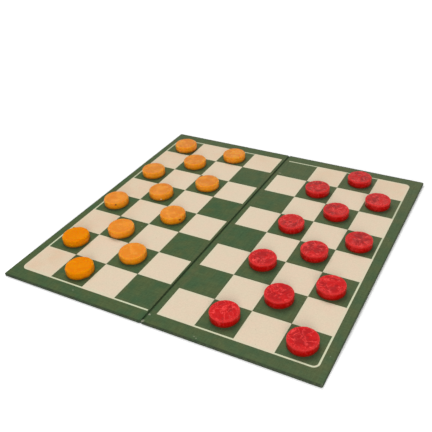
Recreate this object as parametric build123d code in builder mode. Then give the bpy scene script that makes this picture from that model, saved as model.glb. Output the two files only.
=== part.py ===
"""A checkers set: a folding cloth-covered board with amber and red men on it. Millimetres, +Z up."""

from build123d import *
from collections import namedtuple
import math
import os

# Playing field, printed in cream on the green cloth
square = 44.45
rows = 8
columns_per_half = 4
light_square_inset = 0.1
line_width = 2.0
field_corner_radius = 7.0
print_depth = 0.12
print_turn = 0.45
band_width = 11.7
print_to_fold_cloth = 0.2

# The two halves are printed apart: the rows on the left lie this much further back than those on the right
row_step = 1.0

# How far the line round the field stands outside the outermost squares; below zero it stands inside them
left_line_out = -1.0
right_line_out = 0.4
front_line_out = 1.1
back_line_out = -0.9

# Plain border round the field, where it is widest
left_border = 9.3
right_border = 13.7
front_border = 19.2
back_border = 14.4

# The board is cut a little out of square. One end of each edge lies this much further in: of the left
# and the right edge the front end, of the front edge the right end, and of the back edge the left end
left_slant = 0.9
right_slant = 1.0
front_slant = 2.9
back_slant = 0.5

# Layers of each half, from the underside up
lining_thickness = 0.3
cloth_thickness = 0.4
core_thickness = 2.4
board_corner_radius = 2.0
edge_roundness = 1.5
turn_in = 15.0
lining_margin = 4.0

# Fold
core_gap = 3.3
groove_depth = 2.0
fold_lip = 0.7

# Men. The amber ones are a little larger, and rounder at the edges
amber_diameter = 33.1
red_diameter = 32.6
man_height = 9.4
amber_edge_radius = 1.8
red_edge_radius = 1.2

# How far each man stands off the middle of its square, as (column, row): (to the right, to the back)
amber_nudges = {
    (1, 2): (3.5, 1.5),
    (1, 4): (-1.5, 2),
    (1, 6): (1, -0.5),
    (1, 8): (4.5, -4),
    (2, 1): (3, -0.5),
    (2, 3): (0, -5.5),
    (2, 5): (-1.5, -0.5),
    (2, 7): (-1, 1),
    (3, 2): (-1, 2.5),
    (3, 4): (-1, 2),
    (3, 6): (1.5, -1),
    (3, 8): (-0.5, -4),
}
red_nudges = {
    (6, 1): (0.5, 2.5),
    (6, 3): (-1, 9.5),
    (6, 5): (1, 0),
    (6, 7): (2, 0),
    (7, 2): (-4, 6),
    (7, 4): (2.5, 3.5),
    (7, 6): (-1.5, 2),
    (7, 8): (1.5, 2),
    (8, 1): (-1.5, 0),
    (8, 3): (-3, -3.5),
    (8, 5): (-0.5, -3),
    (8, 7): (-4.5, 0.5),
}

# Heights of the layers, and the radius of an edge that cloth is wrapped round
core_z = lining_thickness + cloth_thickness
cloth_z = core_z + core_thickness
face_z = cloth_z + cloth_thickness
print_z = face_z - print_depth
edge_radius = edge_roundness * cloth_thickness
core_corner_radius = board_corner_radius - cloth_thickness

# The fold cloth lines the gap between the two cores and is glued down on a lip at each side of it
groove_width = core_gap - 2 * cloth_thickness
fold_reach = core_gap / 2 + fold_lip
fold_inset = 2 * cloth_thickness

# The field is printed a little out of square with the fold: its left half comes nearest to the fold
# cloth at the front, where half the field's depth times the turn has brought it closer
field_depth = rows * square
half_field_width = columns_per_half * square
turn = math.radians(print_turn)
left_gap = fold_reach + print_to_fold_cloth + field_depth / 2 * math.sin(turn)
right_gap = band_width - left_gap

# Outer sizes. The outline is centred on the origin, so the crease lies a little to the left of it
left_width = left_border + half_field_width + left_gap
right_width = right_gap + half_field_width + right_border
board_width = left_width + right_width
board_depth = front_border + field_depth + back_border
crease_x = (left_width - right_width) / 2
board_corners = (
    (left_slant - board_width / 2, -board_depth / 2),
    (board_width / 2 - right_slant, front_slant - board_depth / 2),
    (board_width / 2, board_depth / 2),
    (-board_width / 2, board_depth / 2 - back_slant),
)

# The two ends of the fold cloth, just short of the edges where the crease meets them
fold_front = front_slant * left_width / board_width - board_depth / 2 + fold_inset
fold_back = board_depth / 2 - back_slant * right_width / board_width - fold_inset
fold_length = fold_back - fold_front
band_centre_x = crease_x + (right_gap - left_gap) / 2
field_centre_y = (front_border - back_border) / 2

# side is -1 to the left of the crease and 1 to the right; outer picks the outermost of what is sorted by X
Half = namedtuple("Half", "name side outer line_out columns")
halves = (
    Half("left", -1, 0, left_line_out, range(1, columns_per_half + 1)),
    Half("right", 1, -1, right_line_out, range(columns_per_half + 1, 2 * columns_per_half + 1)),
)


def field_plane(height):
    """The field's own plane: its origin is the middle of the band, and +X runs along the rows."""
    origin = (band_centre_x, field_centre_y, height)
    return Plane(origin=origin, x_dir=(math.cos(turn), math.sin(turn), 0), z_dir=(0, 0, 1))


def square_centre(column, row):
    """The middle of a square in the field's plane. Columns count from the left, rows from the front."""
    side = -1 if column <= columns_per_half else 1
    x = side * band_width / 2 + (column - columns_per_half - 0.5) * square
    y = (row - (rows + 1) / 2) * square - side * row_step / 2
    return x, y


def half_outline(half, height, margin=0, corner_radius=0):
    """The outline of one half, from the gap at the fold to a margin inside the board's three outer edges."""
    with BuildSketch(Plane.XY.offset(height)) as outline:
        Polygon(*board_corners, align=None)
        if margin:
            offset(amount=-margin, kind=Kind.INTERSECTION)
        if corner_radius:
            fillet(vertices(), corner_radius)
        with Locations((crease_x + half.side * (core_gap + board_width) / 2, 0)):
            Rectangle(board_width, board_depth, mode=Mode.INTERSECT)
    return outline.sketch


def light_pattern(half):
    """The cream of one half: the light squares, trimmed by the line round its three outer sides."""
    width = half_field_width + half.line_out
    depth = field_depth + front_line_out + back_line_out
    middle = Location((half.side * (band_width + width) / 2, (back_line_out - front_line_out) / 2))
    light = [square_centre(c, r) for c in half.columns for r in range(1, rows + 1) if (c + r) % 2 == 0]
    with BuildSketch(field_plane(print_z)) as pattern:
        with Locations(middle):
            Rectangle(width, depth)
        with Locations(middle * Location((-half.side * line_width / 2, 0))):
            Rectangle(width - line_width, depth - 2 * line_width, mode=Mode.SUBTRACT)
        fillet(vertices().group_by(Axis.X)[half.outer - half.side], field_corner_radius - line_width)
        with Locations(*light):
            Rectangle(square - 2 * light_square_inset, square - 2 * light_square_inset)
        with Locations(middle):
            Rectangle(width, depth, mode=Mode.INTERSECT)
        fillet(vertices().group_by(Axis.X)[half.outer], field_corner_radius)
    return pattern.sketch


def save(part, name):
    """Label a finished piece and write it to its own file."""
    part.label = name
    export_step(part, f"parts/{name}.step")


def make_core(half):
    """The stiff greyboard of one half."""
    with BuildPart() as core:
        extrude(half_outline(half, core_z, cloth_thickness, core_corner_radius), amount=core_thickness)
    save(core.part, f"{half.name}_board_core")


def make_cover(half):
    """The green cloth of one half: its face, wrapped over the three outer edges and turned in underneath."""
    outside = half_outline(half, lining_thickness, 0, board_corner_radius)
    inside = half_outline(half, core_z, cloth_thickness, core_corner_radius)
    window = half_outline(half, lining_thickness, turn_in)
    with BuildPart() as cover:
        extrude(outside, amount=face_z - lining_thickness)
        for level in (0, -1):
            around = edges().group_by(Axis.Z)[level].sort_by(Axis.X, reverse=half.side > 0)
            fillet(around[:-1], edge_radius)
        extrude(inside, amount=core_thickness, mode=Mode.SUBTRACT)
        extrude(window, amount=cloth_thickness, mode=Mode.SUBTRACT)
        with BuildSketch(Plane.XY.offset(cloth_z)):
            with Locations((crease_x, (fold_front + fold_back) / 2)):
                Rectangle(2 * fold_reach, fold_length)
        extrude(amount=cloth_thickness, mode=Mode.SUBTRACT)
        extrude(light_pattern(half), amount=print_depth, mode=Mode.SUBTRACT)
    save(cover.part, f"{half.name}_cover_cloth")


def make_print(half):
    """The cream ink, level with the face of the cloth."""
    with BuildPart() as ink:
        extrude(light_pattern(half), amount=print_depth)
    save(ink.part, f"{half.name}_light_print")


def make_lining(half):
    """The paper on the underside: over the turned-in cloth, and down to the core inside it."""
    with BuildPart() as lining:
        extrude(half_outline(half, 0, lining_margin), amount=lining_thickness)
        extrude(half_outline(half, lining_thickness, turn_in), amount=cloth_thickness)
    save(lining.part, f"{half.name}_back_lining")


def make_fold_cloth():
    """The stretch of cloth that is the hinge: glued to both cores and sunk between them as a groove."""
    inside, outside = groove_width / 2, core_gap / 2
    bend_z = face_z - groove_depth + inside
    with BuildPart() as fold_cloth:
        with BuildSketch(Plane(origin=(crease_x, fold_back, 0), x_dir=(1, 0, 0), z_dir=(0, -1, 0))):
            with BuildLine():
                Polyline((-fold_reach, cloth_z), (-fold_reach, face_z), (-inside, face_z), (-inside, bend_z))
                ThreePointArc((-inside, bend_z), (0, bend_z - inside), (inside, bend_z))
                Polyline((inside, bend_z), (inside, face_z), (fold_reach, face_z), (fold_reach, cloth_z))
                Polyline((fold_reach, cloth_z), (outside, cloth_z), (outside, bend_z))
                ThreePointArc((outside, bend_z), (0, bend_z - outside), (-outside, bend_z))
                Polyline((-outside, bend_z), (-outside, cloth_z), (-fold_reach, cloth_z))
            make_face()
            fillet(vertices().group_by(Axis.Y)[-1].sort_by(Axis.X)[1:-1], edge_radius)
        extrude(amount=fold_length)
    save(fold_cloth.part, "fold_cloth")


def make_men(colour, nudges, diameter, edge_rounding):
    """One man for each square in the list: a plain round disc with eased edges."""
    for number, ((column, row), (to_right, to_back)) in enumerate(sorted(nudges.items()), 1):
        x, y = square_centre(column, row)
        seat = field_plane(face_z).from_local_coords((x + to_right, y + to_back, 0))
        with BuildPart() as man:
            with BuildSketch(Plane(origin=seat)):
                Circle(diameter / 2)
            extrude(amount=man_height)
            fillet(edges().filter_by(GeomType.CIRCLE), edge_rounding)
        save(man.part, f"{colour}_checker_{number:02d}")


os.makedirs("parts", exist_ok=True)
for half in halves:
    make_core(half)
    make_cover(half)
    make_print(half)
    make_lining(half)
make_fold_cloth()
make_men("amber", amber_nudges, amber_diameter, amber_edge_radius)
make_men("red", red_nudges, red_diameter, red_edge_radius)
print(f"board {board_width:.1f} by {board_depth:.1f} by {face_z:.1f}, crease at x {crease_x:.2f}")
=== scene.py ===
# %% [markdown]
# A folding checkers board with its twenty-four men
#
# The board is two stiff greyboards wrapped in green bookcloth and hinged by a strip of the same
# cloth. Cream ink makes the light squares and a thin line round the field. The men are plain
# discs turned from cast resin: twelve butterscotch amber, twelve marbled red. The construction
# arrives as a fixed frame of solid nodes, in metres, and this notebook gives it its looks.

# %% The frame
import math
import random
import bmesh
import bpy
from mathutils import Matrix, Vector, noise


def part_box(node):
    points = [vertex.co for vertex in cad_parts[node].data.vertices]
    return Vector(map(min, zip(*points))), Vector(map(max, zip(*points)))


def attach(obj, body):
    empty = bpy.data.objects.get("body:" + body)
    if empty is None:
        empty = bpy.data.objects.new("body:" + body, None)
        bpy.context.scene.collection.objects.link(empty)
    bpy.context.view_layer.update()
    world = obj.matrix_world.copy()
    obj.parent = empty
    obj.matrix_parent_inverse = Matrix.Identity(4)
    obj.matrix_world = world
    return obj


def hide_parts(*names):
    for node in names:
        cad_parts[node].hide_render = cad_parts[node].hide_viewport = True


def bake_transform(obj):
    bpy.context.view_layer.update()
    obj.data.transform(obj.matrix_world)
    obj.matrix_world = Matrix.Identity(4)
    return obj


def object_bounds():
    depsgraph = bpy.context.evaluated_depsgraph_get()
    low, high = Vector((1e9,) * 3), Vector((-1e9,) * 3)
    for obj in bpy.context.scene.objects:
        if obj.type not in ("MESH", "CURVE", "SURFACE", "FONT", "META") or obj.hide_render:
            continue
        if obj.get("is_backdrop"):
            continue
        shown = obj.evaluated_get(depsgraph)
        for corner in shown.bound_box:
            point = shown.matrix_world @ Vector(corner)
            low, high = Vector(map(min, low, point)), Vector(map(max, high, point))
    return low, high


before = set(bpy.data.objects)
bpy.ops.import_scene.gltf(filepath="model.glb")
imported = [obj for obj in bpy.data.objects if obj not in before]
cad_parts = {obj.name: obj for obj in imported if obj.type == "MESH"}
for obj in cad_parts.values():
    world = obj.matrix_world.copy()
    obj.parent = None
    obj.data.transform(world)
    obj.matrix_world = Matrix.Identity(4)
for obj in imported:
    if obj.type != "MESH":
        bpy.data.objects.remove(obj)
cad_low, cad_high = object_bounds()
mm = 0.001
print("frame", len(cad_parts), "nodes, size in mm", [round(s / mm, 1) for s in cad_high - cad_low])

# %% [markdown]
# Measures taken from the frame
#
# Each later step needs to know where the board's edges and its fold are. Typing those numbers a
# second time would let the looks drift away from the construction, so they are read from the
# nodes' own boxes.

# %% Measures of the board
left_low, left_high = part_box("left_cover_cloth")
right_low, right_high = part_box("right_cover_cloth")
fold_low, fold_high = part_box("fold_cloth")
face_z = left_high.z
half_width = (right_high.x - left_low.x) / 2
half_depth = (right_high.y - right_low.y) / 2
crease_x = (fold_low.x + fold_high.x) / 2
print(f"board {2 * half_width / mm:.1f} x {2 * half_depth / mm:.1f} mm, face at {face_z / mm:.2f} mm")

# %% [markdown]
# Small helpers for node trees
#
# A material is a tree of nodes. Adding each node by hand takes three or four lines, and a reader
# loses sight of the finish behind them. These helpers add a node, fill its sockets and link what
# is already a socket, so that one line below stands for one step of a recipe.

# %% Helpers for values and places
def add(tree, kind, takes=None, **settings):
    """A new shader node. takes maps an input's name or number to a value or to another node's output."""
    made = tree.nodes.new("ShaderNode" + kind)
    for name, value in settings.items():
        setattr(made, name, value)
    for name, value in (takes or {}).items():
        if isinstance(value, bpy.types.NodeSocket):
            tree.links.new(value, made.inputs[name])
        else:
            made.inputs[name].default_value = value
    return made


def calc(tree, operation, first, *others):
    """Arithmetic on one value or on two. With more, the operation is carried along them."""
    for other in others or (0.0,):
        first = add(tree, "Math", {0: first, 1: other}, operation=operation).outputs[0]
    return first


def fade(tree, value, low, high, to_low=0.0, to_high=1.0):
    """A smooth step: to_low where value is at low, to_high where it is at high."""
    takes = {"Value": value, "From Min": low, "From Max": high, "To Min": to_low, "To Max": to_high}
    return add(tree, "MapRange", takes, interpolation_type="SMOOTHSTEP").outputs["Result"]


def vector_calc(tree, operation, first, second=(0, 0, 0)):
    """Arithmetic on two vectors. Of its outputs, 0 is a vector and Value a number."""
    return add(tree, "VectorMath", {0: first, 1: second}, operation=operation).outputs


def split(tree, place):
    """The X, Y and Z of a place."""
    return add(tree, "SeparateXYZ", {0: place}).outputs


def drawn_out(tree, place, scale, turn=0.0):
    """A place turned about Z and squeezed, so that a pattern read there comes out long and thin."""
    return add(tree, "Mapping", {"Vector": place, "Rotation": (0, 0, turn), "Scale": scale}).outputs[0]


def noise_at(tree, place, scale, detail):
    """Smooth noise. Of its outputs, 0 is a value and Color three values."""
    return add(tree, "TexNoise", {"Vector": place, "Scale": scale, "Detail": detail}).outputs


# %% Helpers for colours
def tone(red, green, blue):
    """A colour as a socket takes it."""
    return red, green, blue, 1.0


def blend(tree, share, first, second, mode="MIX"):
    """Two colours mixed: first where share is 0, second where it is 1."""
    mix = add(tree, "Mix", {0: share, 6: first, 7: second}, data_type="RGBA", blend_type=mode)
    return mix.outputs[2]


def stain(tree, colour, over, mask, strength):
    """A colour with another over it where the mask is 1, as far as the strength says."""
    return blend(tree, calc(tree, "MULTIPLY", mask, strength), colour, over)


def scaled(tree, colour, factor):
    """A colour made lighter or darker by a factor."""
    grey = add(tree, "CombineColor", {0: factor, 1: factor, 2: factor}).outputs[0]
    return blend(tree, 1.0, colour, grey, "MULTIPLY")


# %% Helpers for node groups
def new_group(name, takes, gives):
    """An empty node group, with the sockets of what it takes and of what it gives."""
    tree = bpy.data.node_groups.new(name, "ShaderNodeTree")
    for title, kind in takes.items():
        tree.interface.new_socket(title, in_out="INPUT", socket_type="NodeSocket" + kind)
    for title, kind in gives.items():
        tree.interface.new_socket(title, in_out="OUTPUT", socket_type="NodeSocket" + kind)
    return tree, tree.nodes.new("NodeGroupInput").outputs, tree.nodes.new("NodeGroupOutput").inputs


def use(tree, group, takes):
    """The outputs of a group placed in a tree."""
    return add(tree, "Group", takes, node_tree=bpy.data.node_groups[group]).outputs


# %% [markdown]
# Effects that several finishes share
#
# Bookcloth, ink and resin all need soft clouding, small specks and worn places. Such an effect is
# built once as a node group with named inputs and then placed in each material with its own
# values, the way a printer keeps one screen for many jobs. A group puts out only masks, heights
# and colours, because the shader itself has to stay in the material.

# %% Soft clouds
noise_middle = 0.5
clouds, takes, gives = new_group(
    "Clouds", {"Place": "Vector", "Size": "Float", "Softness": "Float"}, {"Value": "Float"})
per_metre = calc(clouds, "DIVIDE", 1.0, takes["Size"])
grey = noise_at(clouds, takes["Place"], per_metre, detail=3.0)[0]
low = calc(clouds, "SUBTRACT", noise_middle, takes["Softness"])
high = calc(clouds, "ADD", noise_middle, takes["Softness"])
clouds.links.new(fade(clouds, grey, low, high), gives["Value"])


def cloud(tree, place, size, softness):
    """Blotches of about this size, from 0 to 1. The lower the softness, the harder their edges."""
    return use(tree, "Clouds", {"Place": place, "Size": size, "Softness": softness})[0]


# %% Small round specks, one to a cell, of which only a share show
speck_core = 0.6
specks, takes, gives = new_group(
    "Specks", {"Place": "Vector", "Spacing": "Float", "Radius": "Float", "Share": "Float"},
    {"Mask": "Float"})
per_metre = calc(specks, "DIVIDE", 1.0, takes["Spacing"])
cells = add(specks, "TexVoronoi", {"Vector": takes["Place"], "Scale": per_metre},
            voronoi_dimensions="2D").outputs
lots = add(specks, "SeparateColor", {0: cells["Color"]}).outputs
distance = calc(specks, "MULTIPLY", cells["Distance"], takes["Spacing"])
radius = calc(specks, "MULTIPLY", takes["Radius"], lots["Green"])
inside = fade(specks, distance, radius, calc(specks, "MULTIPLY", radius, speck_core))
shown = calc(specks, "LESS_THAN", lots["Red"], takes["Share"])
specks.links.new(calc(specks, "MULTIPLY", inside, shown), gives["Mask"])


def speckle(tree, place, spacing, radius, share):
    """Specks of up to this radius in cells this far apart. Only a share of the cells hold one."""
    values = {"Place": place, "Spacing": spacing, "Radius": radius, "Share": share}
    return use(tree, "Specks", values)[0]


# %% A single worn spot with a ragged outline
ragged_scale = 900.0
raggedness = 1.6
spot_rim, spot_core = 1.15, 0.75
spots, takes, gives = new_group(
    "Worn spot", {"Place": "Vector", "Centre": "Vector", "Reach": "Vector"}, {"Mask": "Float"})
offset = vector_calc(spots, "SUBTRACT", takes["Place"], takes["Centre"])[0]
share = vector_calc(spots, "DIVIDE", offset, takes["Reach"])[0]
share = vector_calc(spots, "LENGTH", share)["Value"]
ragged = noise_at(spots, takes["Place"], ragged_scale, detail=3.0)[0]
ragged = calc(spots, "MULTIPLY", calc(spots, "SUBTRACT", ragged, noise_middle), raggedness)
share = calc(spots, "ADD", share, ragged)
spots.links.new(fade(spots, share, spot_rim, spot_core), gives["Mask"])


def spot(tree, place, centre, reach):
    """One worn spot, from its centre and how far it reaches along each axis."""
    return use(tree, "Worn spot", {"Place": place, "Centre": centre, "Reach": reach})[0]


print("shared effects", [group.name for group in bpy.data.node_groups])

# %% [markdown]
# Where the rim and the print lie
#
# Wear follows the rim, and ink and cloth both change near the edges of the printed squares. No
# mesh stores such distances, so two groups work them out from the place on the board. The outline
# is a little out of square: each of its edges is a line between two corners, and the distance to
# it is a dot product. The printed edges form a grid: once the place is turned into the field's own
# directions, the nearest grid line is a fraction of a square away. The two halves were printed
# apart, one a little further back. Counting the squares across and along tells dark from light,
# because only dark ones have an odd count.

# %% The outline as a group
left_slant, right_slant, front_slant, back_slant = 0.9 * mm, 1.0 * mm, 2.9 * mm, 0.5 * mm
corners = (
    Vector((left_slant - half_width, -half_depth)),
    Vector((half_width - right_slant, front_slant - half_depth)),
    Vector((half_width, half_depth)),
    Vector((-half_width, half_depth - back_slant)),
)
outline, takes, gives = new_group("Outline", {"Place": "Vector"}, {"To Rim": "Float", "To Corner": "Float"})
to_edges = []
for first, second in zip(corners, corners[1:] + corners[:1]):
    along = (second - first).normalized()
    inward = Vector((-along.y, along.x, 0))
    reach = vector_calc(outline, "DOT_PRODUCT", takes["Place"], inward)["Value"]
    to_edges.append(calc(outline, "SUBTRACT", reach, inward.xy.dot(first)))
to_front, to_right, to_back, to_left = to_edges
to_ends = calc(outline, "MINIMUM", to_front, to_back)
to_sides = calc(outline, "MINIMUM", to_right, to_left)
outline.links.new(calc(outline, "MINIMUM", to_ends, to_sides), gives["To Rim"])
outline.links.new(calc(outline, "MAXIMUM", to_ends, to_sides), gives["To Corner"])
print("outline corners in mm", [[round(v / mm, 1) for v in corner] for corner in corners])

# %% Measures of the print
square = 44.45 * mm
per_half = 4
half_field = per_half * square
band_width = 11.7 * mm
row_step = 1.0 * mm
line_width = 2.0 * mm
field_turn = math.radians(0.45)
field_middle = Vector((crease_x + 1.9 * mm, 2.4 * mm, 0))

# How far the line stands outside the outermost squares, at the low and the high end of each axis
line_out = {"X": (-1.0 * mm, 0.4 * mm), "Y": (1.1 * mm, -0.9 * mm)}
print(f"field {(2 * half_field + band_width) / mm:.1f} x {2 * half_field / mm:.1f} mm")

# %% The printed field as a group
field, takes, gives = new_group(
    "Printed field", {"Place": "Vector"}, {"To Line": "Float", "To Rim": "Float", "On Dark": "Float"})
shift = -(Matrix.Rotation(-field_turn, 3, "Z") @ field_middle)
turned = add(field, "Mapping", {"Vector": takes["Place"], "Rotation": (0, 0, -field_turn), "Location": shift})
axes = split(field, turned.outputs[0])
side = calc(field, "SIGN", axes["X"])
across = calc(field, "SUBTRACT", calc(field, "ABSOLUTE", axes["X"]), band_width / 2)
along = calc(field, "ADD", axes["Y"], calc(field, "MULTIPLY", side, row_step / 2))

# %% The field's grid: the nearest edge of a square, and whether the square is a dark one
to_lines = []

# Both halves are counted outwards from the fold, so the left one starts at one instead of nought
count = calc(field, "MULTIPLY", calc(field, "SUBTRACT", 1.0, side), 0.5)
for way, first in ((across, 0), (along, -per_half)):
    squares = calc(field, "DIVIDE", way, square)
    part = calc(field, "SUBTRACT", calc(field, "FRACT", squares), 0.5)
    part = calc(field, "SUBTRACT", 0.5, calc(field, "ABSOLUTE", part))
    to_lines.append(calc(field, "MULTIPLY", part, square))
    whole = calc(field, "MAXIMUM", calc(field, "FLOOR", squares), first)
    count = calc(field, "ADD", count, calc(field, "MINIMUM", whole, per_half - 1))
field.links.new(calc(field, "MINIMUM", *to_lines), gives["To Line"])
field.links.new(calc(field, "PINGPONG", count, 1.0), gives["On Dark"])

# %% The field's rim: how far inside the outer edge of the line a place lies
to_rims = []
for axis, out in (("X", across), ("Y", calc(field, "ABSOLUTE", axes["Y"]))):
    low, high = (half_field + line for line in line_out[axis])
    sign = calc(field, "SIGN", axes[axis])
    reach = calc(field, "ADD", (low + high) / 2, calc(field, "MULTIPLY", sign, (high - low) / 2))
    to_rims.append(calc(field, "SUBTRACT", reach, out))
field.links.new(calc(field, "MINIMUM", *to_rims), gives["To Rim"])
print("outline", len(outline.nodes), "nodes, printed field", len(field.nodes), "nodes")

# %% [markdown]
# Green bookcloth
#
# Bookbinding cloth is a fine plain weave filled with starch, so it shows as a matt skin with a
# faint grain, slubs along both threads and a dye that drifts between olive and blue-green. It is
# soiled where hands hold the rim and in the groove of the fold, and both are darkened further by
# painted shade. It is rubbed pale at the corners, a little browner where oil has crept out of the
# ink, and paler towards the right and the back, partly faded and partly by a painted sheen. A
# picture of cloth could be wrapped on, but it would repeat, and break off at each seam. Here the
# pattern is worked out from the place on the board, so covers, fold strip and the cloth under the
# ink run on as one sheet.

# %% The weave of the cloth
thread_pitch = 0.55 * mm
knot_scale = 1400.0
weave, takes, gives = new_group("Weave", {"Place": "Vector", "Pitch": "Float"}, {"Height": "Float"})
axes = split(weave, takes["Place"])
warp, weft = (
    calc(weave, "SINE", calc(weave, "MULTIPLY", calc(weave, "DIVIDE", axes[axis], takes["Pitch"]), math.pi))
    for axis in "XY")
crossing = calc(weave, "MULTIPLY", warp, weft, 0.5)
knots = noise_at(weave, takes["Place"], knot_scale, detail=2.0)[0]
weave.links.new(calc(weave, "ADD", crossing, knots), gives["Height"])

# %% The cloth as a group: its dye and its threads
dye_light = tone(0.082, 0.113, 0.043)
dye_blue = tone(0.053, 0.106, 0.045)
slub_draw = 0.04

cloth, takes, gives = new_group(
    "Bookcloth", {"Place": "Vector"},
    {"Color": "Color", "Roughness": "Float", "Height": "Float"})
place = takes["Place"]
axes = split(cloth, place)
drift = cloud(cloth, place, size=16 * mm, softness=0.22)
mottle = cloud(cloth, place, size=2.2 * mm, softness=0.30)
slubs = []
for scale in ((slub_draw, 1, 1), (1, slub_draw, 1)):
    slubs.append(cloud(cloth, drawn_out(cloth, place, scale), size=0.9 * mm, softness=0.25))
slub = calc(cloth, "MULTIPLY", calc(cloth, "ADD", *slubs), 0.5)
thread = use(cloth, "Weave", {"Place": place, "Pitch": thread_pitch})[0]
colour = blend(cloth, drift, dye_light, dye_blue)

# %% The cloth: oil round the ink, and fading with a painted sheen to the right and to the back
dye_oiled = tone(0.108, 0.110, 0.050)
faded_dye_and_sheen = tone(0.160, 0.155, 0.095)
oil_from, oil_to, oil_rim = 5 * mm, 0.5 * mm, -4 * mm
fading_sheen_right, fading_sheen_back = (-0.05, 0.19), (0.0, 0.19, 0.0, 1.6)
print_at = use(cloth, "Printed field", {"Place": place})
oiled = calc(
    cloth, "MULTIPLY",
    fade(cloth, print_at["To Line"], oil_from, oil_to),
    fade(cloth, mottle, -0.5, 1.0),
    fade(cloth, print_at["To Rim"], oil_rim, 0.0))
colour = stain(cloth, colour, dye_oiled, oiled, strength=0.4)
# Paler to the right and to the back: partly faded dye, partly a painted sheen
fading_and_sheen = calc(cloth, "ADD", fade(cloth, axes["X"], *fading_sheen_right), fade(cloth, axes["Y"], *fading_sheen_back))
colour = stain(cloth, colour, faded_dye_and_sheen, fading_and_sheen, strength=0.13)

# %% The cloth: light and shade among the threads
hollow_shade = 0.68
mottle_gain, slub_gain, thread_gain = 0.18, 0.30, 0.14
shade = calc(
    cloth, "ADD",
    calc(cloth, "MULTIPLY", mottle, mottle_gain),
    calc(cloth, "MULTIPLY", slub, slub_gain),
    calc(cloth, "MULTIPLY", thread, thread_gain),
    hollow_shade)
colour = scaled(cloth, colour, shade)

# %% The cloth: soil and painted shade on the rim and in the groove, rubbed corners, and dust
grime_and_shade = tone(0.030, 0.036, 0.024)
groove_dirt_and_shade = tone(0.012, 0.030, 0.012)
rubbed_thread = tone(0.30, 0.31, 0.22)
rim_reach, corner_reach = 1.6 * mm, 3.5 * mm
groove_top, groove_deep = face_z - 0.1 * mm, face_z - 0.8 * mm
groove_outer, groove_inner = 2.6 * mm, 2.2 * mm
cloth_roughness = (0.86, 0.72)
rim = use(cloth, "Outline", {"Place": place})
# The rim is darkened partly by soil and partly by painted shade on the board's edge faces
soil_and_shade = calc(cloth, "MULTIPLY", fade(cloth, rim["To Rim"], rim_reach, 0.0), fade(cloth, mottle, -0.6, 1.0))
colour = stain(cloth, colour, grime_and_shade, soil_and_shade, strength=0.85)
# The groove of the fold is darkened partly by dirt and partly by painted shade in its hollow
to_fold = calc(cloth, "ABSOLUTE", calc(cloth, "SUBTRACT", axes["X"], crease_x))
sunk = calc(
    cloth, "MULTIPLY",
    fade(cloth, axes["Z"], groove_top, groove_deep),
    fade(cloth, to_fold, groove_outer, groove_inner))
colour = stain(cloth, colour, groove_dirt_and_shade, sunk, strength=0.55)
rub = calc(cloth, "MULTIPLY", fade(cloth, rim["To Corner"], corner_reach, 0.0), fade(cloth, mottle, 0.3, 0.9))
colour = stain(cloth, colour, rubbed_thread, rub, strength=0.45)
dust = speckle(cloth, place, spacing=17 * mm, radius=0.7 * mm, share=0.08)
colour = stain(cloth, colour, rubbed_thread, dust, strength=0.7)
cloth.links.new(colour, gives["Color"])
cloth.links.new(fade(cloth, slub, 0.0, 1.0, *cloth_roughness), gives["Roughness"])
cloth.links.new(thread, gives["Height"])
print("bookcloth", len(cloth.nodes), "nodes")

# %% Marks of wear that the board carries, as (place, reach) in millimetres from the board's middle
fold_wear = {
    "frayed front end of the fold": ((-2.6, -190.9), (1.8, 1.7)),
    "chip on the fold's right lip": ((-1.5, -180.1), (1.5, 1.2)),
    "rub by the fold at the back": ((3.8, 141.4), (2.4, 0.7)),
    "fleck on the left front border": ((-101.0, -183.7), (0.9, 0.7)),
    "fleck on the right front border": ((57.1, -187.5), (0.9, 0.5)),
    "fleck beside it": ((60.3, -189.0), (1.0, 0.5)),
}
any_height = 1.0


def wear_mask(tree, place, marks):
    """The union of a dictionary of worn spots, whatever the height."""
    mask = 0.0
    for (x, y), (wide, deep) in marks.values():
        hit = spot(tree, place, (x * mm, y * mm, 0), (wide * mm, deep * mm, any_height))
        mask = calc(tree, "MAXIMUM", mask, hit)
    return mask


# %% Cloth with its marks
worn_cloth, takes, gives = new_group(
    "Worn bookcloth", {"Place": "Vector"}, {"Color": "Color", "Roughness": "Float", "Height": "Float"})
fabric = use(worn_cloth, "Bookcloth", {"Place": takes["Place"]})
bare = wear_mask(worn_cloth, takes["Place"], fold_wear)
colour = stain(worn_cloth, fabric["Color"], rubbed_thread, bare, strength=0.85)
worn_cloth.links.new(colour, gives["Color"])
worn_cloth.links.new(fabric["Roughness"], gives["Roughness"])
worn_cloth.links.new(fabric["Height"], gives["Height"])
print("marks on the cloth", len(fold_wear))


# %% Helpers that start a material and give it relief
def new_finish(name, **constants):
    """A material, its tree and its shader. constants are the shader's own values, by socket name."""
    material = bpy.data.materials.new(name)
    material.use_nodes = True
    tree = material.node_tree
    shader = tree.nodes["Principled BSDF"]
    for socket, value in constants.items():
        shader.inputs[socket.replace("_", " ")].default_value = value
    return material, tree, shader


def raise_grain(tree, shader, height, depth):
    """Bump from a height, where a height of 1 stands depth metres proud."""
    bump = add(tree, "Bump", {"Height": height, "Distance": depth})
    tree.links.new(bump.outputs["Normal"], shader.inputs["Normal"])


# %% Cloth materials
cloth_gloss = 0.35
cloth_relief = 0.04 * mm


def make_cloth(name, attribute=None):
    """Bookcloth. It is laid out on Object coordinates, or on a point attribute if one is named."""
    material, tree, shader = new_finish(name, Specular_IOR_Level=cloth_gloss)
    if attribute:
        place = add(tree, "Attribute", attribute_name=attribute).outputs["Vector"]
    else:
        place = add(tree, "TexCoord").outputs["Object"]
    fabric = use(tree, "Worn bookcloth", {"Place": place})
    tree.links.new(fabric["Color"], shader.inputs["Base Color"])
    tree.links.new(fabric["Roughness"], shader.inputs["Roughness"])
    raise_grain(tree, shader, fabric["Height"], cloth_relief)
    return material


cover_cloth = make_cloth("green bookcloth")
strip_cloth = make_cloth("green bookcloth of the fold", "laid_flat")
print("cloths", cover_cloth.name, "and", strip_cloth.name)

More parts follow.
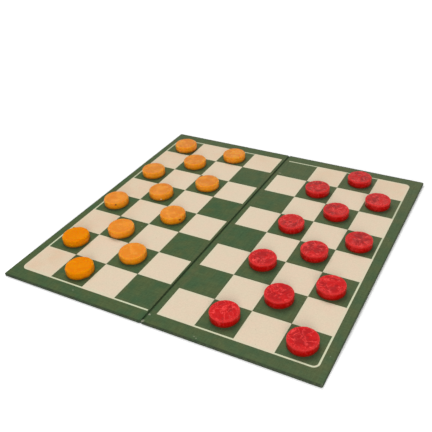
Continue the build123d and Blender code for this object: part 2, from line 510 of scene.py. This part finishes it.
# %% [markdown]
# Cream ink
#
# The light squares are a film of cream ink on the same cloth. It takes the cloth's grain and has
# yellowed along the left and back rims. Towards the edge of each square the film is thinner and
# the green shows through it. The line is greener where it runs alone along dark squares, and it is
# more worn towards the back. The ink is lost in places: in pinholes, and along the line at the
# back beside the fold. These could be holes cut in the ink's mesh, but their edges would be hard,
# so where the ink is gone its material shows the cloth.

# %% Ink: its tones and its marks
ink_cream = tone(0.757, 0.610, 0.455)
ink_warm = tone(0.735, 0.545, 0.378)
ink_thin = tone(0.655, 0.650, 0.465)
ink_line = tone(0.625, 0.655, 0.450)
ink_relief = 0.02 * mm
ink_wear = {
    "line worn away beside the fold": ((-5.7, 181.9), (4.5, 3.0)),
    "break in the line": ((8.2, 182.4), (2.6, 1.2)),
    "thin line": ((17.7, 182.4), (5.0, 0.8)),
    "worn line by a man": ((117.2, 181.5), (7.0, 1.0)),
}

# %% Ink: the film, yellowed at two rims and thin at the edges
yellow_left, yellow_back = (-0.10, -0.17), (0.11, 0.17, 0.0, 0.7)
thinner = (4 * mm, 0.8 * mm, 0.0, 0.5)
print_ink, tree, shader = new_finish("cream ink", Specular_IOR_Level=0.3)
place = add(tree, "TexCoord").outputs["Object"]
axes = split(tree, place)
under = use(tree, "Bookcloth", {"Place": place})
yellowing = cloud(tree, place, size=30 * mm, softness=0.2)
rims = calc(tree, "MAXIMUM", fade(tree, axes["X"], *yellow_left), fade(tree, axes["Y"], *yellow_back))
yellowing = calc(tree, "MULTIPLY", fade(tree, yellowing, 0.0, 1.0, 0.4, 1.0), rims)
film = blend(tree, yellowing, ink_cream, ink_warm)
blotches = cloud(tree, place, size=9 * mm, softness=0.2)
film = stain(tree, film, ink_thin, blotches, strength=0.25)
print_at = use(tree, "Printed field", {"Place": place})
film = blend(tree, fade(tree, print_at["To Line"], *thinner), film, ink_thin)
on_line = fade(tree, print_at["To Rim"], 1.4 * line_width, line_width)
on_line = calc(tree, "MULTIPLY", on_line, print_at["On Dark"])
film = blend(tree, on_line, film, ink_line)

# %% Ink: its grain, and the places where it is lost
grain_dark, grain_light = 0.95, 1.03
line_wear = (-0.08, 0.12, 0.0, 0.2)
wear_gain, pinhole_gain = 0.75, 0.5
ink_roughness = (0.62, 0.52)
grain = cloud(tree, place, size=1.6 * mm, softness=0.35)
grain = fade(tree, grain, 0.0, 1.0, grain_dark, grain_light)
film = scaled(tree, film, grain)
pinholes = speckle(tree, place, spacing=9 * mm, radius=0.45 * mm, share=0.12)
lost = calc(
    tree, "MAXIMUM",
    calc(tree, "MULTIPLY", wear_mask(tree, place, ink_wear), wear_gain),
    calc(tree, "MULTIPLY", pinholes, pinhole_gain),
    calc(tree, "MULTIPLY", on_line, fade(tree, axes["Y"], *line_wear)))
tree.links.new(blend(tree, lost, film, under["Color"]), shader.inputs["Base Color"])
tree.links.new(fade(tree, grain, grain_dark, grain_light, *ink_roughness), shader.inputs["Roughness"])
raise_grain(tree, shader, under["Height"], ink_relief)
print("marks in the ink", len(ink_wear))

# %% [markdown]
# Greyboard and lining paper
#
# The core is pressed from waste paper, so it is grey-brown with dark and light fibres. The paper
# pasted over the underside is nearly black with a fine pebble, and it has gone grey where the
# board slides on a table: along its rims and in long faint scuffs. A plain colour could do for
# what so seldom shows, but a few nodes are enough to make it look like paper.

# %% Greyboard
pulp_dark = tone(0.22, 0.19, 0.15)
pulp_light = tone(0.36, 0.32, 0.26)
pulp_fleck = tone(0.08, 0.07, 0.06)
fibre_draw = 0.2
pulp_relief = 0.06 * mm
greyboard, tree, shader = new_finish("greyboard", Roughness=0.92, Specular_IOR_Level=0.2)
place = add(tree, "TexCoord").outputs["Object"]
fibres = cloud(tree, drawn_out(tree, place, (fibre_draw, 1, 1)), size=0.5 * mm, softness=0.2)
flecks = speckle(tree, place, spacing=2.5 * mm, radius=0.4 * mm, share=0.3)
pulp = blend(tree, fibres, pulp_dark, pulp_light)
tree.links.new(blend(tree, flecks, pulp, pulp_fleck), shader.inputs["Base Color"])
raise_grain(tree, shader, fibres, pulp_relief)

# %% Lining paper
paper_dark = tone(0.018, 0.026, 0.020)
paper_light = tone(0.034, 0.044, 0.034)
paper_worn = tone(0.17, 0.17, 0.14)
slide_turn = 0.5
slide_draw = 0.05
rub_from, rub_to = 9 * mm, 4 * mm
scuff_gain, rub_gain = 0.35, 0.4
paper_roughness = (0.55, 0.85)
paper_relief = 0.05 * mm
lining, tree, shader = new_finish("lining paper", Specular_IOR_Level=0.3)
place = add(tree, "TexCoord").outputs["Object"]
pebble = cloud(tree, place, size=0.7 * mm, softness=0.2)
swept = drawn_out(tree, place, (slide_draw, 1, 1), slide_turn)
scuffs = calc(
    tree, "MULTIPLY",
    cloud(tree, swept, size=2.4 * mm, softness=0.08),
    cloud(tree, place, size=38 * mm, softness=0.12))
rubbed = fade(tree, use(tree, "Outline", {"Place": place})["To Rim"], rub_from, rub_to)
rubbed = calc(tree, "MULTIPLY", rubbed, fade(tree, pebble, 0.2, 0.9))
scuffs = calc(tree, "MULTIPLY", scuffs, scuff_gain)
worn = calc(tree, "MAXIMUM", scuffs, calc(tree, "MULTIPLY", rubbed, rub_gain))
paper = blend(tree, pebble, paper_dark, paper_light)
tree.links.new(blend(tree, worn, paper, paper_worn), shader.inputs["Base Color"])
tree.links.new(fade(tree, worn, 0.0, 0.5, *paper_roughness), shader.inputs["Roughness"])
raise_grain(tree, shader, pebble, paper_relief)
print("board finishes", [m.name for m in (cover_cloth, strip_cloth, print_ink, greyboard, lining)])

# %% [markdown]
# Cast resin
#
# The men are phenolic resin. Each bar was poured from two or three tints stirred once, so a man
# holds clouds, thin swirled veins and small bright flecks, no two alike. Every man could have a
# material of its own. Instead the pattern is read at the man's own place on the board, so that one
# recipe gives each another piece of the bar, and slow clouds along the bar make whole men darker
# or lighter. The resin lets a little light through, so its rims glow, and the shoulder carries a
# painted highlight in the vein tint. The flats are scuffed pale by play, and the same pale tint is
# partly a painted sheen. The turned sides show the bar's streaks on end in a tint of their own that
# is partly painted light, lighter on the amber men and darker on the red, and near the foot they
# are darkened by painted shade. Which is which is told by two values that each man's mesh carries:
# how near the shoulder a point lies, and how far in from the side. The men further back are duller
# on their flats, with more of the pale scuff and sheen, so that also follows the place.

# %% Pits and chips in the men's sides, as ((place, reach), tone) in millimetres in the board's frame
pit_tone = tone(0.37, 0.060, 0.000)
chip_tone = tone(0.85, 0.62, 0.42)
resin_marks = {
    "pit in the fourth row's outer amber man": (((-155.7, -32.1, 11.0), 1.4), pit_tone),
    "notch in the fourth row's inner amber man": (((-61.2, -24.3, 8.8), 1.9), pit_tone),
    "chip at the foot of the fifth row's amber man": (((-112.3, 9.7, 6.4), 1.0), chip_tone),
}

# %% The resin as a group: what it takes, and which part of a man a point is on
resin_tints = ("Body", "Cloud", "Vein And Highlight", "Side", "Scuff And Sheen")
resin_shares = ("Cloud Share", "Vein Share", "Rim Highlight", "Scuff Share")
resin_takes = {"Place": "Vector", "Rim": "Float", "Inward": "Float"}
resin_takes |= {title: "Color" for title in resin_tints}
resin_takes |= {title: "Float" for title in resin_shares}
resin, takes, gives = new_group(
    "Resin", resin_takes, {"Color": "Color", "Roughness": "Float", "Height": "Float"})
flat_edge = (0.05, 0.14)
dull_front, dull_back = -0.16, 0.14
place = takes["Place"]
axes = split(resin, place)
flat = fade(resin, takes["Inward"], *flat_edge)
on_side = calc(resin, "SUBTRACT", 1.0, flat)
dulled = fade(resin, axes["Y"], dull_front, dull_back)

# %% The resin: tints poured together and stirred once
stir_scale, stir_reach = 70.0, 0.020
tint_scale, ribbon_scale, fleck_scale = 85.0, 110.0, 150.0
bar_drift = 0.07
tint_edge = (0.48, 0.58)
clouds_inward = (0.1, 0.5, 0.45, 1.0)
clouds_to_back = (0.7, 1.15)
stir = noise_at(resin, place, stir_scale, detail=2.0)["Color"]
stir = vector_calc(resin, "SUBTRACT", stir, (noise_middle,) * 3)[0]
stir = add(resin, "VectorMath", {0: stir, "Scale": stir_reach}, operation="SCALE").outputs[0]
poured = vector_calc(resin, "ADD", place, stir)[0]
tint = noise_at(resin, poured, tint_scale, detail=2.0)[0]
bar = cloud(resin, place, size=45 * mm, softness=0.2)
tint = calc(resin, "ADD", tint, fade(resin, bar, 0.0, 1.0, -bar_drift, bar_drift))
cloudy = calc(
    resin, "MULTIPLY",
    fade(resin, tint, *tint_edge),
    takes["Cloud Share"],
    fade(resin, takes["Inward"], *clouds_inward),
    fade(resin, dulled, 0.0, 1.0, *clouds_to_back))
colour = blend(resin, cloudy, takes["Body"], takes["Cloud"])

# %% The resin: veins and flecks
ribbon_middle, ribbon_width = 0.47, 0.030
fleck_edge = (0.58, 0.72)
ribbon = noise_at(resin, poured, ribbon_scale, detail=3.0)[0]
ribbon = calc(resin, "ABSOLUTE", calc(resin, "SUBTRACT", ribbon, ribbon_middle))
veined = calc(resin, "MULTIPLY", fade(resin, ribbon, ribbon_width, 0.0), takes["Vein Share"])
colour = blend(resin, veined, colour, takes["Vein And Highlight"])
fleck = noise_at(resin, poured, fleck_scale, detail=2.0)[0]
fleck = calc(resin, "MULTIPLY", fade(resin, fleck, *fleck_edge), takes["Vein Share"])
colour = blend(resin, fleck, colour, takes["Vein And Highlight"])

# %% The resin: streaks and partly painted light on the turned sides, and a painted highlight on the shoulder
streak_draw = 0.25
least_streak = 0.5
# The sides take a tint of their own, partly painted light: lighter on the amber men, darker on the red
upright = drawn_out(resin, place, (1, 1, streak_draw))
streaks = cloud(resin, upright, size=2.2 * mm, softness=0.16)
streaks_and_side_light = calc(resin, "MULTIPLY", fade(resin, streaks, 0.0, 1.0, least_streak), on_side)
colour = blend(resin, streaks_and_side_light, colour, takes["Side"])
# A painted highlight along the shoulder, in the vein tint
painted_highlight = calc(resin, "MULTIPLY", takes["Rim"], takes["Rim Highlight"])
colour = blend(resin, painted_highlight, colour, takes["Vein And Highlight"])

# %% The resin: scuffs and a painted sheen on the flats, dulling further back, and painted shade near the foot
painted_foot_shade = tone(0.030, 0.014, 0.004)
foot_top, foot_bottom = face_z + 4.8 * mm, face_z + 0.8 * mm
front_vivid, back_vivid = 1.08, 0.95
front_scuff_sheen, back_scuff_sheen = 0.4, 1.6
least_haze = 0.4
# A pale veil on the flats, partly scuffing and partly a painted sheen, stronger further back
haze = cloud(resin, place, size=6 * mm, softness=0.25)
scuffed_and_sheen = calc(
    resin, "MULTIPLY",
    fade(resin, haze, 0.0, 1.0, least_haze),
    takes["Scuff Share"],
    fade(resin, dulled, 0.0, 1.0, front_scuff_sheen, back_scuff_sheen),
    flat)
colour = blend(resin, scuffed_and_sheen, colour, takes["Scuff And Sheen"])
vivid = fade(resin, dulled, 0.0, 1.0, front_vivid, back_vivid)
vivid = calc(resin, "MULTIPLY", calc(resin, "SUBTRACT", vivid, 1.0), flat)
colour = scaled(resin, colour, calc(resin, "ADD", vivid, 1.0))
# Painted shade on the sides near the foot, darker towards the cloth
foot = calc(resin, "MULTIPLY", fade(resin, axes["Z"], foot_top, foot_bottom), on_side)
colour = stain(resin, colour, painted_foot_shade, foot, strength=0.5)

# %% The resin: polish, dents and hair scratches, and its marks
resin_roughness = (0.38, 0.28)
rim_polish, scratch_depth = 0.08, 0.05
scratch_turn = 0.9
scratch_draw = 0.05
polish = fade(resin, haze, 0.0, 1.0, *resin_roughness)
polish = calc(resin, "SUBTRACT", polish, calc(resin, "MULTIPLY", takes["Rim"], rim_polish))
scratched = drawn_out(resin, place, (scratch_draw, 1, 1), scratch_turn)
scratches = cloud(resin, scratched, size=0.5 * mm, softness=0.1)
dents = cloud(resin, place, size=3 * mm, softness=0.4)
dents = calc(resin, "ADD", dents, calc(resin, "MULTIPLY", scratches, scratch_depth))
for ((x, y, z), reach), mark_tone in resin_marks.values():
    hit = spot(resin, place, (x * mm, y * mm, z * mm), (reach * mm,) * 3)
    colour = stain(resin, colour, mark_tone, hit, strength=0.9)
resin.links.new(colour, gives["Color"])
resin.links.new(polish, gives["Roughness"])
resin.links.new(dents, gives["Height"])
print("resin", len(resin.nodes), "nodes, marks", len(resin_marks))

# %% Resin materials
scuff_and_sheen_tone = tone(0.78, 0.48, 0.42)
glow_colour = (1.0, 0.35, 0.12)
resin_relief = 0.12 * mm


def make_resin(name, tints, shares, gloss, glow, glow_reach):
    """Polished resin, from tints and shares in the order of resin_tints and resin_shares."""
    material, tree, shader = new_finish(
        name, Specular_IOR_Level=gloss, Subsurface_Weight=glow, Subsurface_Radius=glow_colour,
        Subsurface_Scale=glow_reach)
    values = dict(zip(resin_tints, tints)) | dict(zip(resin_shares, shares))
    values["Place"] = add(tree, "TexCoord").outputs["Object"]
    for title, attribute in (("Rim", "rim"), ("Inward", "inward")):
        values[title] = add(tree, "Attribute", attribute_name=attribute).outputs["Fac"]
    cast = use(tree, "Resin", values)
    tree.links.new(cast["Color"], shader.inputs["Base Color"])
    tree.links.new(cast["Roughness"], shader.inputs["Roughness"])
    raise_grain(tree, shader, cast["Height"], resin_relief)
    return material


# %% The three resins
amber_resin = make_resin(
    "butterscotch amber resin",
    (tone(0.755, 0.229, 0.003), tone(0.90, 0.330, 0.021), tone(0.95, 0.450, 0.060),
     tone(0.87, 0.290, 0.001), scuff_and_sheen_tone),
    (0.65, 0.32, 0.3, 0.05), gloss=0.4, glow=0.4, glow_reach=3.0 * mm)
deep_amber_resin = make_resin(
    "deep amber resin",
    (tone(0.73, 0.201, 0.000), tone(0.76, 0.240, 0.000), tone(0.84, 0.325, 0.003),
     tone(0.78, 0.240, 0.000), scuff_and_sheen_tone),
    (0.6, 0.3, 0.25, 0.0), gloss=0.06, glow=0.4, glow_reach=3.0 * mm)
red_resin = make_resin(
    "marbled red resin",
    (tone(0.55, 0.003, 0.005), tone(0.34, 0.003, 0.006), tone(1.00, 0.075, 0.070),
     tone(0.46, 0.000, 0.000), scuff_and_sheen_tone),
    (0.95, 0.62, 0.45, 0.05), gloss=0.2, glow=0.1, glow_reach=2.0 * mm)
print("resins", [m.name for m in (amber_resin, deep_amber_resin, red_resin)])

# %% [markdown]
# The strip of cloth that is the hinge
#
# Between the two greyboards the cloth dips into a round groove, and its two lips are pasted to
# the boards. It could be a flat ribbon with a painted line, but the fold then has no shadow. Here
# its section is drawn once as a few wire edges whose corners are bevelled round, drawn out along
# the fold, and given the cloth's thickness. Towards both ends the groove rises, and there the
# cloth is turned down over its end and closes it. At the front it has begun to fray.

# %% Measures of the fold strip
cloth_thickness = 0.4 * mm
board_gap = 3.3 * mm
groove_depth = 2.0 * mm
lip_rounding = 0.6 * mm
lip_segments, groove_segments = 5, 8
just_under = 0.999
strip_steps = 240
flap_clearance = 0.4 * mm
touching = 0.01 * mm

# Each end of the strip: where it is, over what length the groove rises there, and by what share
strip_ends = ((fold_low.y, 4.0 * mm, 0.85), (fold_high.y, 1.5 * mm, 0.6))


# %% Helpers for meshes
def new_piece(name, bm, material):
    """A smooth-shaded object from a finished bmesh, with its place in its mesh."""
    mesh = bpy.data.meshes.new(name)
    bm.to_mesh(mesh)
    bm.free()
    mesh.shade_smooth()
    mesh.materials.append(material)
    piece = bpy.data.objects.new(name, mesh)
    bpy.context.scene.collection.objects.link(piece)
    return piece


def wire(bm, points):
    """Vertices along a line of points, joined by edges."""
    verts = [bm.verts.new(p) for p in points]
    for first, second in zip(verts, verts[1:]):
        bm.edges.new((first, second))
    return verts


def round_corners(bm, verts, radius, segments):
    """Corners of a wire, rounded off."""
    bmesh.ops.bevel(bm, geom=verts, offset=radius, segments=segments, profile=0.5,
                    affect="VERTICES", material=-1)


# %% The groove and its ends
def draw_groove(bm):
    """The strip's section as a wire, drawn out from the front of the fold to its back."""
    reach = (fold_high.x - fold_low.x) / 2
    inside = board_gap / 2 - cloth_thickness
    bottom = face_z - groove_depth
    section = [(-reach, face_z), (-inside, face_z), (-inside, bottom), (inside, bottom), (inside, face_z),
               (reach, face_z)]
    verts = wire(bm, [(crease_x + x, fold_low.y, z) for x, z in section])
    round_corners(bm, [verts[1], verts[4]], lip_rounding, lip_segments)
    round_corners(bm, [verts[2], verts[3]], inside * just_under, groove_segments)
    step = (fold_high.y - fold_low.y) / strip_steps
    bmesh.ops.spin(bm, geom=bm.verts[:] + bm.edges[:], cent=(0, 0, 0), axis=(0, 1, 0),
                   dvec=(0, step, 0), angle=0, steps=strip_steps)


def sunk_at(vertex, end):
    """Whether a vertex lies at an end of the strip, below the face."""
    return abs(vertex.co.y - end) < touching and vertex.co.z < face_z - touching


def close_ends(bm):
    """Raises the groove towards both ends, and turns the cloth down over them."""
    for vertex in bm.verts:
        for end, length, rise in strip_ends:
            near = max(0.0, 1 - abs(vertex.co.y - end) / length)
            vertex.co.z += (face_z - vertex.co.z) * rise * near
    for end, _, _ in strip_ends:
        rim = [edge for edge in bm.edges if all(sunk_at(vertex, end) for vertex in edge.verts)]
        turned_down = bmesh.ops.extrude_edge_only(bm, edges=rim)["geom"]
        for vertex in (v for v in turned_down if isinstance(v, bmesh.types.BMVert)):
            vertex.co.z = cad_low.z + flap_clearance


# %% Frayed threads, drawn at random from ranges in millimetres and degrees
threads = 14
thread_lengths = (1.5, 3.0)
thread_bearings = (200, 330)
thread_roots = ((0.2, 2.4), (1.8, 3.4))
thread_slopes = (-0.1, 0.15)
thread_thick, thread_thin = 0.14 * mm, 0.06 * mm


def add_frayed_threads(bm):
    """Loose ends of thread, fanned out flat over the front end of the fold."""
    draw = random.Random("frayed threads")
    for _ in range(threads):
        length = draw.uniform(*thread_lengths) * mm
        bearing = math.radians(draw.uniform(*thread_bearings))
        right, back = (draw.uniform(*bounds) * mm for bounds in thread_roots)
        root = Vector((crease_x + right, fold_low.y + back, face_z))
        lie = Vector((math.cos(bearing), math.sin(bearing), draw.uniform(*thread_slopes)))
        aim = lie.to_track_quat("Z", "X").to_matrix().to_4x4()
        bmesh.ops.create_cone(bm, segments=6, radius1=thread_thick, radius2=thread_thin, depth=length,
                              matrix=Matrix.Translation(root + lie * length / 2) @ aim, cap_ends=True)


# %% The fold strip
def make_fold_strip():
    """The strip, with the place of each point while the board lies open, for its material."""
    bm = bmesh.new()
    draw_groove(bm)
    close_ends(bm)
    bmesh.ops.recalc_face_normals(bm, faces=bm.faces)
    if sum(face.normal.z * face.calc_area() for face in bm.faces) < 0:
        bmesh.ops.reverse_faces(bm, faces=bm.faces)
    bmesh.ops.solidify(bm, geom=bm.faces[:], thickness=cloth_thickness)
    bmesh.ops.recalc_face_normals(bm, faces=bm.faces)
    add_frayed_threads(bm)
    piece = new_piece("fold_strip", bm, strip_cloth)
    laid_flat = piece.data.attributes.new("laid_flat", "FLOAT_VECTOR", "POINT")
    for vertex, place in zip(piece.data.vertices, laid_flat.data):
        place.vector = vertex.co
    return piece


strip = make_fold_strip()
print("fold strip", len(strip.data.polygons), "faces, z from",
      min(v.co.z for v in strip.data.vertices) / mm, "to", max(v.co.z for v in strip.data.vertices) / mm)
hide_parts("fold_cloth")
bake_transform(strip)

# %% [markdown]
# The men
#
# A man was sawn from a cast bar, faced on a lathe and tumbled, so it is round but not perfect: its
# side has a few flats where it was filed, the outline wanders, the rim is lightly nicked, and the
# faces are a little hollow. The amber men are rounder at the shoulder, the red ones at the foot. A
# cylinder would look machined. Here half of the section is drawn, its two corners are bevelled,
# it is spun round its axis, and the turned surface is then unsettled by the flats and by smooth
# noise, always inwards, so that a man never grows out of its measured size. It stands a hair's
# breadth above the cloth, because two faces in one plane would flicker.

# %% Measures of the men
turns = 112
corner_segments = 7
face_cuts, side_cuts = 9, 4
merging = 0.001 * mm
seat_gap = 0.02 * mm
face_hollow = 0.12 * mm
rim_width = 1.9 * mm
man_shapes = {
    "amber": {"foot": 1.2 * mm, "shoulder": 2.4 * mm, "flats": 7, "depth": 0.40 * mm, "wander": 0.18 * mm,
              "nick": 0.9 * mm, "nick_pitch": 320},
    "red": {"foot": 1.0 * mm, "shoulder": 1.4 * mm, "flats": 4, "depth": 0.22 * mm, "wander": 0.12 * mm,
            "nick": 0.7 * mm, "nick_pitch": 480},
}

# %% Unevenness of a turned man
wander_pitch = 130
nick_threshold = 0.2
flat_depths = (0.3, 1.0)
least_facing = 0.9
round_middle = 0.3


def filed_away(bearing, radius, flats):
    """How far inside the circle the side lies at a bearing, for flats given as (bearing, depth)."""
    cuts = [0.0]
    for middle, depth in flats:
        facing = math.cos(bearing - middle)
        if facing > least_facing:
            cuts.append(radius - (radius - depth) / facing)
    return max(cuts)


def unsettle(vertex, centre, radius, height, shape, flats):
    """Moves one vertex of a turned man inwards by its unevenness, and gives how near the shoulder it is."""
    place = vertex.co.copy()
    out = math.hypot(place.x, place.y)
    shoulder = shape["shoulder"] * round_middle
    rim = max(0.0, 1 - math.hypot(radius - shoulder - out, height - place.z - shoulder) / rim_width)
    nick = max(0.0, noise.noise((place + centre) * shape["nick_pitch"]) - nick_threshold)
    nick = shape["nick"] * nick * rim
    side = shape["wander"] * (0.5 + 0.5 * noise.noise((place + centre) * wander_pitch))
    side += filed_away(math.atan2(place.y, place.x), radius, flats)
    inwards = side * (out / radius) ** 3 + nick
    if out > 0:
        vertex.co.x -= place.x / out * inwards
        vertex.co.y -= place.y / out * inwards
    if place.z > height / 2:
        vertex.co.z -= face_hollow * (1 - out / radius) + nick
    return rim


# %% Turning a man
def draw_man_section(bm, radius, height, shape):
    """Half of a man's section as a wire, its corners rounded and its long edges cut for the noise."""
    section = wire(bm, [(0, 0, 0), (radius, 0, 0), (radius, 0, height), (0, 0, height)])
    round_corners(bm, section[1:2], shape["foot"], corner_segments)
    round_corners(bm, section[2:3], shape["shoulder"], corner_segments)
    faces = [edge for edge in bm.edges if edge.calc_length() > radius / 2]
    bmesh.ops.subdivide_edges(bm, edges=faces, cuts=face_cuts)
    sides = [edge for edge in bm.edges if abs(edge.verts[0].co.z - edge.verts[1].co.z) > height / 4]
    bmesh.ops.subdivide_edges(bm, edges=sides, cuts=side_cuts)


def turn_man(name, low, high, shape, material):
    """A man in its node's box. It carries how near the shoulder and how far in from the side a point is."""
    centre = (low + high) / 2
    radius = (high.x - low.x) / 2
    height = high.z - low.z - seat_gap
    bm = bmesh.new()
    draw_man_section(bm, radius, height, shape)
    bmesh.ops.spin(bm, geom=bm.verts[:] + bm.edges[:], cent=(0, 0, 0), axis=(0, 0, 1),
                   angle=2 * math.pi, steps=turns, use_merge=True)
    bmesh.ops.remove_doubles(bm, verts=bm.verts, dist=merging)
    bmesh.ops.recalc_face_normals(bm, faces=bm.faces)
    draw = random.Random(name)
    flats = []
    for _ in range(shape["flats"]):
        flats.append((draw.uniform(0, 2 * math.pi), draw.uniform(*flat_depths) * shape["depth"]))
    inward = [1 - math.hypot(vertex.co.x, vertex.co.y) / radius for vertex in bm.verts]
    rims = [unsettle(vertex, centre, radius, height, shape, flats) for vertex in bm.verts]
    bmesh.ops.translate(bm, verts=bm.verts, vec=(centre.x, centre.y, low.z + seat_gap))
    man = new_piece(name, bm, material)
    man.data.attributes.new("rim", "FLOAT", "POINT").data.foreach_set("value", rims)
    man.data.attributes.new("inward", "FLOAT", "POINT").data.foreach_set("value", inward)
    return man


# %% All the men
deep_amber_men = ("amber_checker_01", "amber_checker_05")
for node in sorted(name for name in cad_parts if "_checker_" in name):
    colour, number = node.split("_checker_")
    finish = amber_resin if colour == "amber" else red_resin
    if node in deep_amber_men:
        finish = deep_amber_resin
    man = turn_man(f"{colour}_man_{number}", *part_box(node), man_shapes[colour], finish)
    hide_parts(node)
    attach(man, node)
print("last man", len(man.data.polygons), "faces")

# %% [markdown]
# Dressing the board
#
# The covers, prints, cores and linings keep their constructed meshes: they already have the right
# shape, so only a finish is missing.

# %% Dressing the board
dress = {"cover_cloth": cover_cloth, "light_print": print_ink, "board_core": greyboard, "back_lining": lining}
for side in ("left", "right"):
    for part, finish in dress.items():
        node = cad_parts[f"{side}_{part}"]
        node.data.materials.clear()
        node.data.materials.append(finish)
print("dressed", len(dress), "nodes of each half")

# %% [markdown]
# Floor, light and camera
#
# The set stands on a white sweep. A large key lamp high behind the left corner throws the men's
# short shadows forward and to the right. A lamp low in front keeps the sides that face the camera
# from going black, and a dim sky fills the rest. Together they light a level surface at a strength
# of about one, so a colour renders about as it is written. A panorama of a studio could do the
# same, but a lamp can be moved until its shadow falls right. The sweep is lifted a little for the
# camera alone, so that it ends in pure white but keeps the shadow along the board's rim. The lift
# is stronger in front of the board, where that shadow is short, and grows to white far away.

# %% Floor
floor_size = 6.0
floor_gap = 0.2 * mm
floor_white = tone(0.92, 0.92, 0.92)
floor_lift, front_lift = 0.10, 0.40
front_from, front_to = -0.12, -0.20
floor_near, floor_far = 0.36, 0.9
bm = bmesh.new()
bmesh.ops.create_grid(bm, x_segments=1, y_segments=1, size=floor_size / 2)
bmesh.ops.translate(bm, verts=bm.verts, vec=(0, 0, cad_low.z - floor_gap))
sweep, tree, shader = new_finish(
    "white sweep", Base_Color=floor_white, Roughness=0.9, Specular_IOR_Level=0.0,
    Emission_Color=tone(1, 1, 1))
place = add(tree, "TexCoord").outputs["Object"]
lift = fade(tree, split(tree, place)["Y"], front_from, front_to, floor_lift, front_lift)
lift = fade(tree, vector_calc(tree, "LENGTH", place)["Value"], floor_near, floor_far, lift, 1.0)
seen = add(tree, "LightPath").outputs["Is Camera Ray"]
tree.links.new(calc(tree, "MULTIPLY", seen, lift), shader.inputs["Emission Strength"])
floor = new_piece("floor", bm, sweep)
floor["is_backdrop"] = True

# %% Sky
sky_strength = 0.29
world = bpy.data.worlds.new("studio")
bpy.context.scene.world = world
world.use_nodes = True
tree = world.node_tree
background = tree.nodes["Background"].inputs
background["Color"].default_value = tone(1, 1, 1)
seen = add(tree, "LightPath").outputs
seen = calc(tree, "MAXIMUM", seen["Is Camera Ray"], seen["Is Transmission Ray"])
tree.links.new(fade(tree, seen, 0.0, 1.0, sky_strength, 1.0), background["Strength"])


# %% Lamps
def soft_box(name, place, size, power):
    """A square area lamp aimed at the middle of the board, left out of reflections."""
    lamp = bpy.data.lights.new(name, "AREA")
    lamp.shape = "SQUARE"
    lamp.size = size
    lamp.energy = power
    box = bpy.data.objects.new(name, lamp)
    box.location = place
    box.visible_glossy = False
    box.rotation_euler = (-Vector(place)).to_track_quat("-Z", "Y").to_euler()
    bpy.context.scene.collection.objects.link(box)


soft_box("key", place=(-1.53, 1.83, 3.82), size=2.9, power=149.0)
soft_box("low front lamp", place=(1.14, -1.98, 0.99), size=1.0, power=32.0)
print("lamps", [lamp.name for lamp in bpy.data.lights])

# %% Camera
eye = (0.30612, -0.53419, 0.43198)
azimuth, elevation, roll = 28.765, 34.097, -2.772
focal_pixels = 594.58
picture_side = 432
right_of_centre = 24
camera = bpy.data.cameras.new("camera")
camera.sensor_width = 36.0
camera.lens = focal_pixels * camera.sensor_width / picture_side
camera.shift_x = -right_of_centre / picture_side
viewer = bpy.data.objects.new("camera", camera)
turn = Matrix.Rotation(math.radians(azimuth), 4, "Z")
turn @= Matrix.Rotation(math.radians(90 - elevation), 4, "X") @ Matrix.Rotation(math.radians(roll), 4, "Z")
viewer.matrix_world = Matrix.Translation(eye) @ turn
bpy.context.scene.collection.objects.link(viewer)
bpy.context.scene.camera = viewer
bpy.context.scene.view_settings.view_transform = "Standard"
print(f"camera of {camera.lens:.1f} mm, {Vector(eye).length:.2f} m from the board's middle")

# %% [markdown]
# Size
#
# Both boxes, of the construction and of the dressed object, are printed, so that their sizes
# can be compared. The dressed object may not outgrow the construction.

# %% Sizes and finish
low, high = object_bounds()
print("cad box in mm", [round(v / mm, 2) for v in (*cad_low, *cad_high)])
print("visual box in mm", [round(v / mm, 2) for v in (*low, *high)])
